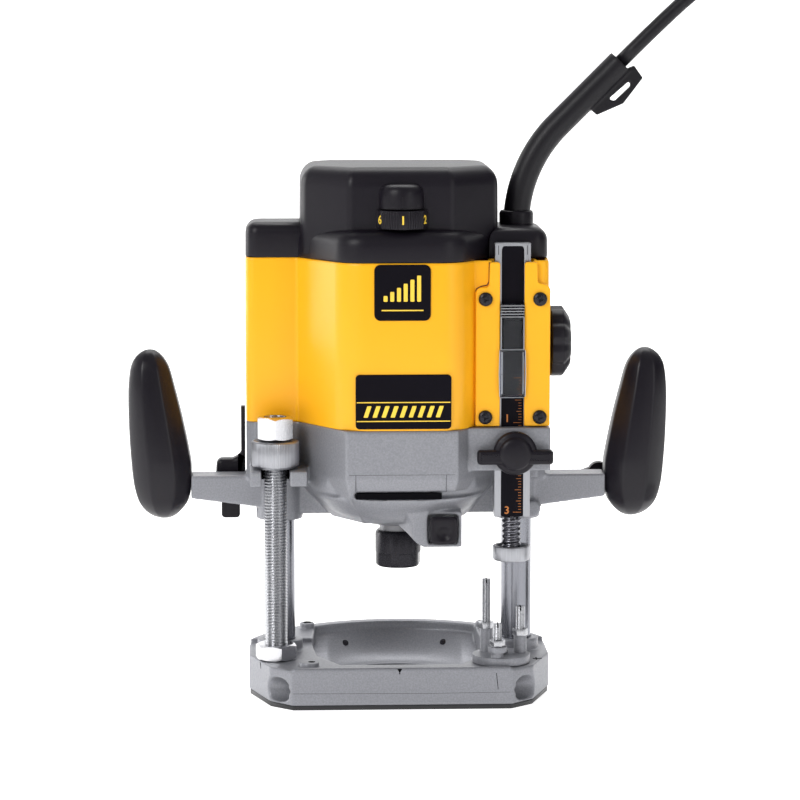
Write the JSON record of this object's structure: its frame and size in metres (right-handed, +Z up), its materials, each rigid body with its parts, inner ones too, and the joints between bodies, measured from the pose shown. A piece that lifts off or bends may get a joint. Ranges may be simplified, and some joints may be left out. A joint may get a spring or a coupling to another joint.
{
  "type": "plunge router",
  "caption": "Handheld plunge router: motor carriage with side grips sliding on columns above a D-shaped base, with depth stop, turret, limiter and cord.",
  "frame": {"origin": "spindle axis in the plane of the sole's underside", "axes": "+X to the user's right, +Y away from the user, +Z up the spindle axis"},
  "size_m": [0.5368, 0.134, 0.417],
  "materials": {
    "cast_aluminium": "sand-cast, lacquered satin",
    "sole_plastic": "smooth phenolic",
    "chromed_steel": "hard-chromed, polished",
    "zinc_steel": "zinc plated",
    "turned_aluminium": "turned and extruded, bright",
    "yellow_shell": "moulded, semi-gloss",
    "black_shell": "moulded, fine spark texture",
    "soft_grip": "smooth over-moulded grip",
    "black_steel": "black oxide",
    "label_black": "gloss label",
    "clear_plastic": "clear moulded",
    "bronze": "sintered",
    "motor_iron": "laminated, varnished",
    "copper": "turned copper",
    "black_rubber": "moulded rubber"
  },
  "bodies": {
    "base": {"sole_plate": "sole_plastic", "base_casting": "cast_aluminium", "sole_screws": "zinc_steel", "column_left": "chromed_steel", "column_right": "chromed_steel", "column_springs": "zinc_steel", "rod_clamp_screws": "zinc_steel", "limiter_rod": "zinc_steel", "limiter_base_nut": "zinc_steel", "turret_pivot": "zinc_steel", "cord_coil": "black_rubber", "cord_plug": "black_rubber"},
    "limiter_collar": {"limiter_collar": "turned_aluminium"},
    "limiter_lock_nut": {"limiter_lock_nut": "chromed_steel"},
    "turret": {"turret_disc": "cast_aluminium", "turret_screws": "zinc_steel", "turret_nuts": "zinc_steel"},
    "carriage": {"casting": "cast_aluminium", "column_bushes": "bronze", "spring_seats": "zinc_steel", "motor_housing": "yellow_shell", "top_cap": "black_shell", "left_cap": "black_shell", "right_cap": "black_shell", "depth_cover": "yellow_shell", "depth_cover_screws": "black_steel", "front_badge": "label_black", "name_plate": "label_black", "handle_left": "soft_grip", "handle_right": "soft_grip", "handle_bolts": "zinc_steel", "stator": "motor_iron", "bearing_lower": "zinc_steel", "bearing_upper": "zinc_steel", "bearing_bracket": "turned_aluminium", "brush_holders": "bronze", "speed_module": "black_shell", "switch_unit": "black_shell", "cord_boot": "black_rubber", "cord_gland": "black_shell", "cord_tube": "black_rubber"},
    "spindle": {"armature": "motor_iron", "commutator": "copper", "cooling_fan": "black_shell", "collet": "zinc_steel", "collet_nut": "black_steel"},
    "lock_button": {"lock_button": "black_shell"},
    "depth_stop": {"depth_bar": "turned_aluminium", "depth_scale": "label_black"},
    "fine_adjuster": {"adjuster_screw": "black_steel", "stop_foot": "turned_aluminium"},
    "depth_knob": {"side_knob": "black_shell", "knob_pinion": "zinc_steel"},
    "wing_knob": {"wing_knob": "black_shell"},
    "magnifier": {"magnifier": "clear_plastic"},
    "speed_dial": {"speed_dial": "black_shell"},
    "switch_lever": {"switch_lever": "black_shell"},
    "lock_lever": {"lock_lever": "black_shell", "lock_bolt": "zinc_steel"}
  },
  "joints": [
    {"name": "plunge", "type": "slide", "parent": "base", "child": "carriage", "axis": [0, 0, -1], "range_m": [0, 0.0252], "stiffness_N_per_m": 2600, "springref_m": -0.035, "deforming": ["column_springs", "cord_tube"]},
    {"name": "limiter_collar_turn", "type": "hinge", "parent": "base", "child": "limiter_collar", "pos_m": [-0.0702, -0.028, 0.1398], "axis": [0, 0, 1], "continuous": true},
    {"name": "limiter_lock_nut_turn", "type": "hinge", "parent": "base", "child": "limiter_lock_nut", "pos_m": [-0.0702, -0.028, 0.1545], "axis": [0, 0, 1], "continuous": true},
    {"name": "turret_turn", "type": "hinge", "parent": "base", "child": "turret", "pos_m": [0.0565, -0.041, 0.0249], "axis": [0, 0, 1], "continuous": true},
    {"name": "spindle_turn", "type": "hinge", "parent": "carriage", "child": "spindle", "pos_m": [0, 0, 0.18], "axis": [0, 0, 1], "continuous": true},
    {"name": "spindle_lock_press", "type": "slide", "parent": "carriage", "child": "lock_button", "axis": [0, 1, 0], "range_m": [0, 0.0032], "stiffness_N_per_m": 600, "springref_m": -0.002},
    {"name": "depth_stop_slide", "type": "slide", "parent": "carriage", "child": "depth_stop", "axis": [0, 0, 1], "range_m": [-0.023, 0.026]},
    {"name": "fine_adjuster_turn", "type": "hinge", "parent": "depth_stop", "child": "fine_adjuster", "pos_m": [0.0625, -0.0336, 0.09], "axis": [0, 0, 1], "continuous": true},
    {"name": "depth_knob_turn", "type": "hinge", "parent": "carriage", "child": "depth_knob", "pos_m": [0.09, -0.02, 0.202], "axis": [1, 0, 0], "range_deg": [-150, 132]},
    {"name": "wing_knob_turn", "type": "hinge", "parent": "carriage", "child": "wing_knob", "pos_m": [0.0631, -0.051, 0.1428], "axis": [0, -1, 0], "continuous": true},
    {"name": "pointer_slide", "type": "slide", "parent": "carriage", "child": "magnifier", "axis": [0, 0, 1], "range_m": [-0.01, 0.02]},
    {"name": "speed_dial_turn", "type": "hinge", "parent": "carriage", "child": "speed_dial", "pos_m": [0.0005, -0.041, 0.2728], "axis": [0, 0, 1], "range_deg": [0, 300]},
    {"name": "switch_slide", "type": "slide", "parent": "carriage", "child": "switch_lever", "axis": [0, 0, 1], "range_m": [0, 0.005]},
    {"name": "lock_lever_turn", "type": "hinge", "parent": "carriage", "child": "lock_lever", "pos_m": [0.076, 0.022, 0.1055], "axis": [0, 1, 0], "range_deg": [0, 40]}
  ],
  "couplings": [
    {"joint": "depth_knob_turn", "follows": "depth_stop_slide", "rad_per_m": -100}
  ]
}
